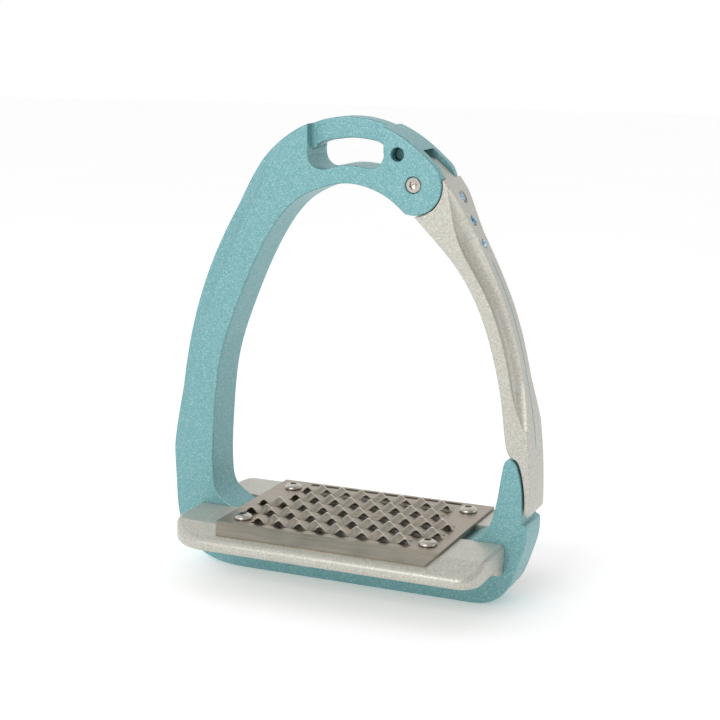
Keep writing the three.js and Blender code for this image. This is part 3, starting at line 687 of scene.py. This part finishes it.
def build_crystal(number, stone):
    """Brilliant cut: an eight-sided table, two rings of facets, and a point below the girdle."""
    radius = stone["diameter"] / 2
    levels = [
        (0.05, -1.9, 0), (radius, -0.2, 0), (radius, -0.05, 0.5), (radius * 0.82, 0.22, 0),
        (radius * 0.55, 0.45, 0.5),
    ]
    rings = []
    for ring_radius, height, phase in levels:
        angles = [2 * math.pi * (i + phase) / 8 for i in range(8)]
        rings.append([(ring_radius * math.cos(a), ring_radius * math.sin(a), height) for a in angles])
    gem = seated(loft(f"gem_{number}", rings), stone)
    dress(gem, CRYSTAL, "release_arm", [f"crystal_{number}"], angle=5)


def build_inlay():
    """Thin painted line along the middle of the arm's outer face."""
    line = [p for p in smooth(ARM_OUTSIDE, 0.8) if 58.3 < p[1] < 126.6]
    half, proud = 0.27, 0.03
    rings = []
    for i, p in enumerate(line):
        ahead = line[min(i + 1, len(line) - 1)] - line[max(i - 1, 0)]
        out = np.array([-ahead[1], ahead[0]]) / np.linalg.norm(ahead)
        out = out if out[0] > 0 else -out
        narrow = half * min(1, 0.2 + min(i, len(line) - 1 - i) / 2)
        a, b = p + out * proud, p - out * 0.3
        rings.append([
            (a[0], -narrow, a[1]), (a[0], narrow, a[1]), (b[0], narrow, b[1]), (b[0], -narrow, b[1]),
        ])
    dress(loft("arm_inlay", rings), INLAY, "release_arm")


# ---- Footbed pad ----

def pad_top(y):
    """Height of the pad's top: flat in the middle, then sloping to the front and back edges."""
    flat, slope = PAD_HIGH[2], 0.445
    bend = 0.5
    past = abs(y) - PAD_FOLD_Y
    if past <= -bend:
        return flat
    if past >= bend:
        return flat - slope * past
    return flat - slope * (past + bend) ** 2 / (4 * bend)


def build_pad():
    left_r, right_r = 16.5, 8.0
    low, high = PAD_LOW[0], PAD_HIGH[0]
    front = PAD_HIGH[1]
    underside = 15.85
    creases = [PAD_FOLD_Y + offset for offset in CREASES]
    crease_marks = [(-1, y) for y in creases[::-1]] + [(1, y) for y in creases]
    outline = closed(
        arc((low + left_r, -front + left_r), left_r, 180, 270, 60),
        [(x, -front) for x in np.linspace(low + left_r + 3, high - right_r - 3, 24)],
        arc((high - right_r, -front + right_r), right_r, 270, 360, 16),
        [(high, side * y) for side, y in crease_marks],
        arc((high - right_r, front - right_r), right_r, 0, 90, 16),
        [(x, front) for x in np.linspace(high - right_r - 3, low + left_r + 3, 24)],
        arc((low + left_r, front - left_r), left_r, 90, 180, 60),
    )
    nose, end_r = 2.3, 1.3
    rings = []
    for turn in np.radians(np.linspace(0, 90, 7)):
        moved = inset(outline, nose * (1 - math.sin(turn)))
        rings.append([(x, y, underside + nose * (1 - math.cos(turn))) for x, y in moved])
    for turn in np.radians(np.linspace(0, 90, 9)):
        ring = []
        for k, (x, y) in enumerate(outline):
            share = min(1, max(0, (abs(y) - 24) / 12))
            radius = end_r + (2.6 - end_r) * share * share * (3 - 2 * share)
            px, py = inset(outline, radius * (1 - math.cos(turn)))[k]
            crest = pad_top(inset(outline, radius)[k][1])
            ring.append((px, py, crest - radius * (1 - math.sin(turn))))
        rings.append(ring)
    count = len(outline)
    points = [p for ring in rings for p in ring]
    faces = skin_between(len(rings), count)
    faces.append(tuple(range(count))[::-1])
    add_top(points, faces, (len(rings) - 1) * count, count)
    body = make_object("pad_body", points, faces)

    half = FACE + PAD_GAP
    join(body, rib(-1), rib(1))
    channel = block("channel", (-80, 80), (-half, half), (0, BAR_TOP_Z + PAD_GAP))
    left = block("left_notch", (-80, NOTCH_LEFT_X), (-half, half), (0, 40))
    right = block("right_notch", (NOTCH_RIGHT_X, 80), (-half, half), (0, 40))
    room = 0.8
    floor = TREAD_Z + TOOTH_VALLEY - TOOTH_T - 2 * room
    short_y = row_span(0)[0] - SLIT_FRONT - room, LAST_SLIT_Y[1] + 0.2
    long_y = row_span(1)[0] - SLIT_FRONT - room, row_span(2)[1] + SLIT_BACK + room
    well = block("well", (SHORT_ROW[0] - room, SHORT_ROW[1] + room), short_y, (floor, 40))
    long_well = block("long_well", (LONG_ROW[0] - room, LONG_ROW[1] + room), long_y, (floor, 40))
    cutters = [channel, left, right, well, long_well]
    cutters += [screw_hole(number, SCREW_LOW[2] - 0.4, 40) for number in TREAD_SCREWS]
    carve(body, *cutters)
    dress(body, SILVER, "frame", ["footbed_pad"])


def add_top(points, faces, start, count):
    """Fills the pad's uppermost ring, with creases where its top bends."""
    ring = np.array([points[start + i] for i in range(count)])
    edges = [(i, (i + 1) % count) for i in range(count)]
    left = np.where(ring[:, 0] < 0, 0, 1e6)
    right = np.where(ring[:, 0] > 0, 0, 1e6)
    for offset in CREASES:
        for side in (-1, 1):
            away = np.abs(ring[:, 1] - side * (PAD_FOLD_Y + offset))
            ends = int(np.argmin(away + left)), int(np.argmin(away + right))
            if ends not in edges:
                edges.append(ends)
    flat = [Vector((x, y)) for x, y, _ in ring]
    triangles = geometry.delaunay_2d_cdt(flat, edges, [], 0, 1e-6)[2]
    for triangle in triangles:
        centre = ring[list(triangle), :2].mean(axis=0)
        if inside_outline(ring[:, :2], centre):
            faces.append(tuple(start + i for i in triangle))


def inside_outline(outline, p):
    a, b = outline, np.roll(outline, -1, axis=0)
    crosses = (a[:, 1] > p[1]) != (b[:, 1] > p[1])
    level = (p[1] - a[:, 1]) / np.where(crosses, b[:, 1] - a[:, 1], 1)
    return np.count_nonzero(crosses & (p[0] < a[:, 0] + level * (b[:, 0] - a[:, 0]))) % 2 == 1


def block(name, x, y, z):
    return loft(name, [[(x[0], b, z[0]), (x[1], b, z[0]), (x[1], b, z[1]), (x[0], b, z[1])] for b in y])


def rib(side):
    """Rib that clasps the base bar, with its lower edges rounded."""
    inner, outer, bottom, top = FACE + 0.3, 14.0, PAD_LOW[2], 17.0
    section = closed(
        [(inner, top), (inner, bottom)], arc((outer - 1, bottom + 1), 1.0, 270, 360, 5), [(outer, top)],
    )
    length = (PAD_LOW[0] + 3.0, PAD_HIGH[0] - 0.4)
    return loft("rib", [[(x, side * p[0], p[1]) for p in section] for x in length])


# ---- Tread plate ----

def row_span(row):
    """Front and back edge of a row's strip."""
    back = STRIP_BACK_Y + row * ROW_PITCH
    return back - STRIP_WIDTH, back


def tooth_wave(x, peak_x):
    """Rounded triangular wave, as a height over the plate's top."""
    turn = (x - peak_x) / TOOTH_PITCH
    pointed = 1 - 4 * abs((turn + 0.5) % 1 - 0.5)
    rounded = math.cos(2 * math.pi * turn)
    middle, swing = (TOOTH_PEAK + TOOTH_VALLEY) / 2, (TOOTH_PEAK - TOOTH_VALLEY) / 2
    return middle + swing * (0.5 * pointed + 0.5 * rounded)


def tooth_strip(ends, span):
    """Lanced strip: a wave along its back edge and the opposite wave along its front edge, so every
    tooth rises to the back and leaves an open arch on each side of it at the front."""
    low, high = ends
    front_y, back_y = span
    run_out, chamfer, sections_per_mm = 1.6, 0.12, 2.6
    across = [0, chamfer, 0.9, 1.8, 2.7, 3.5, 4.2, STRIP_WIDTH - LIP, STRIP_WIDTH - LIP + 0.06, STRIP_WIDTH]
    lift = [-chamfer, 0, 0, 0, 0, 0, 0, 0, 0.07, 0.09]
    rings = []
    for x in np.linspace(low - 0.4, high + 0.4, int((high - low) * sections_per_mm)):
        edge = max(0, min(1, (x - low) / run_out, (high - x) / run_out))
        front = tooth_wave(x, TOOTH_X + TOOTH_PITCH / 2)
        back = tooth_wave(x, TOOTH_X)
        top, bottom = [], []
        for y, up in zip(across, lift):
            share = y / STRIP_WIDTH
            share = share * share * (3 - 2 * share)
            height = TREAD_Z + (front + (back - front) * share) * edge
            top.append((x, front_y + y, height + up * edge))
            bottom.append((x, front_y + y, height - TOOTH_T - (1 - edge) * (PLATE_T - TOOTH_T)))
        rings.append(top + bottom[::-1])
    return loft("strip", rings)


def build_plate():
    nose, top = PLATE_NOSE_Y, TREAD_Z
    slope = math.atan2(SKIRT_DROP, nose - PLATE_FOLD_Y)
    bend = 1.0
    start = PLATE_FOLD_Y - bend * math.tan(slope / 2)

    def skin(offset):
        """Half of the folded section, from the middle to the nose, at a distance under the top."""
        turns = np.linspace(0, slope, 6)
        line = [(0, top - offset)]
        for a in turns:
            radius = bend - offset
            line.append((start + radius * math.sin(a), top - bend + radius * math.cos(a)))
        normal = (math.sin(slope), math.cos(slope))
        line.append((nose - 0.05 - offset * normal[0], top - SKIRT_DROP - offset * normal[1]))
        return line

    upper, lower = skin(0), skin(PLATE_T)
    mirrored_upper = [(-y, z) for y, z in upper[::-1]]
    mirrored_lower = [(-y, z) for y, z in lower[1:]]
    section = mirrored_upper + upper[1:] + lower[::-1] + mirrored_lower
    blank = loft("plate_sheet", [[(x, y, z) for y, z in section] for x in (-PLATE_X, PLATE_X)])
    plan = [
        (-PLATE_X + SKIRT_TAPER, -nose), (PLATE_X - SKIRT_TAPER, -nose), (PLATE_X, -PLATE_FOLD_Y),
        (PLATE_X, PLATE_FOLD_Y), (PLATE_X - SKIRT_TAPER, nose), (-PLATE_X + SKIRT_TAPER, nose),
        (-PLATE_X, PLATE_FOLD_Y), (-PLATE_X, -PLATE_FOLD_Y),
    ]
    trim = loft("trim", [[(x, y, z) for x, y in plan] for z in (10, 40)])
    carve(blank, trim, operation="INTERSECT")
    cutters = [block("last_slit", SHORT_ROW, LAST_SLIT_Y, (20, 30))]
    strips = []
    for row, ends in enumerate(ROWS):
        span = row_span(row)
        cutters.append(block("field", ends, (span[0] - SLIT_FRONT, span[1] + SLIT_BACK), (20, 30)))
        strips.append(tooth_strip(ends, span))
    cutters += [screw_hole(number, 20, 30) for number in TREAD_SCREWS]
    carve(blank, *cutters)
    join(blank, *strips)
    blank.data.materials.clear()
    blank.data.materials.append(STAINLESS)
    blank.data.materials.append(EDGE_HIGHLIGHT_STEEL)
    # Top faces along each strip's back and front edges get the bright steel: a painted highlight band.
    front_highlight_width, least_lift, steepest = 0.11, 0.15, 0.2
    for polygon in blank.data.polygons:
        y, up = polygon.center.y, polygon.normal.z
        if polygon.center.z < TREAD_Z + least_lift or up < steepest:
            continue
        for row in range(len(ROWS)):
            front_y, back_y = row_span(row)
            if 0 <= back_y - y < LIP or 0 <= y - front_y < front_highlight_width:
                polygon.material_index = 1
    dress(blank, STAINLESS, "frame", ["tread_plate"])


# ---- Screws ----

def screw_hole(number, bottom, top):
    """Cutter for a tread screw's hole."""
    low, high = node_box(f"tread_screw_{number}")
    middle = (low + high) / 2
    return turned_z("screw_hole", middle[:2], [(SCREW_HOLE_R, bottom), (SCREW_HOLE_R, top)], 24)


def build_tread_screw(number):
    low, high = node_box(f"tread_screw_{number}")
    middle = (low + high) / 2
    base = TREAD_Z + 0.1
    head = high[2] - base
    dome = [(SCREW_HEAD_R - 0.12, base), (SCREW_HEAD_R, base + 0.15), (SCREW_HEAD_R, base + 0.35)]
    for i in range(1, 9):
        turn = math.pi / 2 * i / 9.5
        dome.append((SCREW_HEAD_R * math.cos(turn), base + 0.35 + (head - 0.35) * math.sin(turn)))
    dome.append((1.1, high[2]))
    profile = [(1.7, low[2]), (1.7, base), *dome]
    screw = turned_z(f"button_screw_{number}", middle[:2], profile, 64)
    levels = (1.12, high[2] + 0.3), (1.0, high[2] - 0.25), (1.0, high[2] - 1.5), (0.3, high[2] - 1.9)
    carve(screw, hex_socket(middle, 2.5, levels, across_z))
    dress(screw, STEEL, "frame", [f"tread_screw_{number}"])


def build_pivot_screw():
    front = node_box("pivot_screw")[0][1]
    profile = [(1.5, -1), (1.5, -6.6), (2.9, -6.6), (2.9, front + 0.3), (2.6, front), (0.8, front)]
    screw = turned_y("hinge_screw", PIVOT, profile, 64)
    levels = (1.15, front - 0.3), (1.0, front + 0.2), (1.0, front + 1.3), (0.3, front + 1.7)
    carve(screw, hex_socket(PIVOT, 2.6, levels, across_y))
    dress(screw, STEEL, "frame", ["pivot_screw"])


def build_pivot_barrel():
    back = node_box("pivot_barrel")[1][1]
    profile = [(2.5, -6.2), (2.5, 6.5), (4.0, 6.5), (4.0, back - 0.3), (3.7, back), (0.8, back)]
    barrel = turned_y("hinge_barrel", PIVOT, profile, 64)
    levels = (1.15, back + 0.3), (1.0, back - 0.2), (1.0, back - 1.3), (0.3, back - 1.7)
    carve(barrel, hex_socket(PIVOT, 3.0, levels, across_y))
    dress(barrel, STEEL, "frame", ["pivot_barrel"])


def build_pad_screw(number):
    low, high = node_box(f"pad_screw_{number}")
    middle = (low + high) / 2
    profile = [
        (0.8, low[2]), (4.0, low[2]), (4.2, low[2] + 0.2), (2.2, low[2] + 2.4), (2.2, high[2] - 0.4),
        (1.8, high[2]),
    ]
    screw = turned_z(f"countersunk_screw_{number}", middle[:2], profile, 64)
    levels = (1.12, low[2] - 0.3), (1.0, low[2] + 0.2), (1.0, low[2] + 1.5), (0.3, low[2] + 2.0)
    carve(screw, hex_socket(middle, 3.0, levels, across_z))
    dress(screw, STEEL, "frame", [f"pad_screw_{number}"])


def build_stop_pin():
    low, high = node_box("stop_pin")
    middle = (low + high) / 2
    radius = (high[0] - low[0]) / 2
    edge = 0.3
    profile = [
        (radius - edge, low[1]), (radius, low[1] + edge), (radius, high[1] - edge), (radius - edge, high[1]),
    ]
    pin = turned_y("stop_pin_turned", (middle[0], middle[2]), profile)
    # The pin gets the darkened teal: painted shade for the deep, shadowed hole.
    dress(pin, PIN_SHADE_PAINT, "frame", ["stop_pin"])


def finish_cad_node(name, material):
    """Gives a CAD node that keeps its own mesh its finish."""
    node = frame["nodes"][name]
    node.data.materials.clear()
    node.data.materials.append(material)


build_frame()
build_arm()
build_inlay()
for count, stone in enumerate(CRYSTALS, 1):
    build_crystal(count, stone)
build_pad()
build_plate()
for count in TREAD_SCREWS:
    build_tread_screw(count)
for count in (1, 2):
    build_pad_screw(count)
build_pivot_screw()
build_pivot_barrel()
build_stop_pin()
for node_name in ("arm_bush", "thrust_washer_front", "thrust_washer_back"):
    finish_cad_node(node_name, BRONZE)
finish_cad_node("torsion_spring", SPRING_STEEL)


# ---- Camera, floor and light ----

def aim(thing, target):
    thing.rotation_mode = "QUATERNION"
    thing.rotation_quaternion = (Vector(target) - thing.location).to_track_quat("-Z", "Y")


def add_camera():
    azimuth, elevation, distance = math.radians(24.05), math.radians(12.36), 0.5843
    target = Vector((0.00113, 0, 0.08555))
    camera = bpy.data.objects.new("camera", bpy.data.cameras.new("camera"))
    bpy.context.scene.collection.objects.link(camera)
    level = math.cos(elevation)
    back = Vector((math.sin(azimuth) * level, -math.cos(azimuth) * level, math.sin(elevation)))
    camera.location = target + back * distance
    aim(camera, target)
    camera.data.lens = 78.2
    camera.data.sensor_width = 36
    bpy.context.scene.camera = camera


def add_light(name, place, size, power):
    data = bpy.data.lights.new(name, "AREA")
    data.shape = "RECTANGLE"
    data.size, data.size_y = size
    data.energy = power
    light = bpy.data.objects.new(name, data)
    bpy.context.scene.collection.objects.link(light)
    light.location = place
    aim(light, (0, 0, 0.08))


def add_floor():
    half = 3.0
    mesh = bpy.data.meshes.new("floor")
    corners = [(-half, -half, 0), (half, -half, 0), (half, half, 0), (-half, half, 0)]
    mesh.from_pydata(corners, [], [(0, 1, 2, 3)])
    floor = bpy.data.objects.new("floor", mesh)
    bpy.context.scene.collection.objects.link(floor)
    m = Nodes("pale_floor")
    tone = m.ramp(m.noise(6, 2), (0.3, (0.965, 0.965, 0.965)), (0.7, (0.98, 0.98, 0.98)))
    m.set(Base_Color=tone, Roughness=0.9, Emission_Color=(1, 1, 1, 1), Emission_Strength=0.22)
    mesh.materials.append(m.material)


def add_world():
    """White surroundings behind the object and on its left, dimmer in front of it and on its right."""
    bright_side = (-0.78, 0.55, -0.3)
    world = bpy.data.worlds.new("studio")
    world.use_nodes = True
    tree = world.node_tree
    place = tree.nodes.new("ShaderNodeTexCoord")
    along = tree.nodes.new("ShaderNodeVectorMath")
    along.operation = "DOT_PRODUCT"
    along.inputs[1].default_value = bright_side
    ramp = tree.nodes.new("ShaderNodeValToRGB")
    stretch = tree.nodes.new("ShaderNodeMapRange")
    stretch.inputs["From Min"].default_value = -1
    tree.links.new(place.outputs["Generated"], along.inputs[0])
    tree.links.new(along.outputs["Value"], stretch.inputs["Value"])
    tree.links.new(stretch.outputs["Result"], ramp.inputs["Fac"])
    ramp.color_ramp.elements[0].position = 0.1
    ramp.color_ramp.elements[0].color = (0.5, 0.5, 0.5, 1)
    ramp.color_ramp.elements[1].position = 0.62
    ramp.color_ramp.elements[1].color = (1, 1, 1, 1)
    background = tree.nodes["Background"]
    tree.links.new(ramp.outputs["Color"], background.inputs["Color"])
    background.inputs["Strength"].default_value = 1.0
    bpy.context.scene.world = world


add_camera()
add_floor()
add_world()
add_light("key", (-0.15, -0.85, 0.5), (0.5, 0.4), 2.9)
add_light("side", (0.75, 0.12, 0.12), (0.25, 0.5), 0.4)
bpy.context.scene.view_settings.view_transform = "Standard"
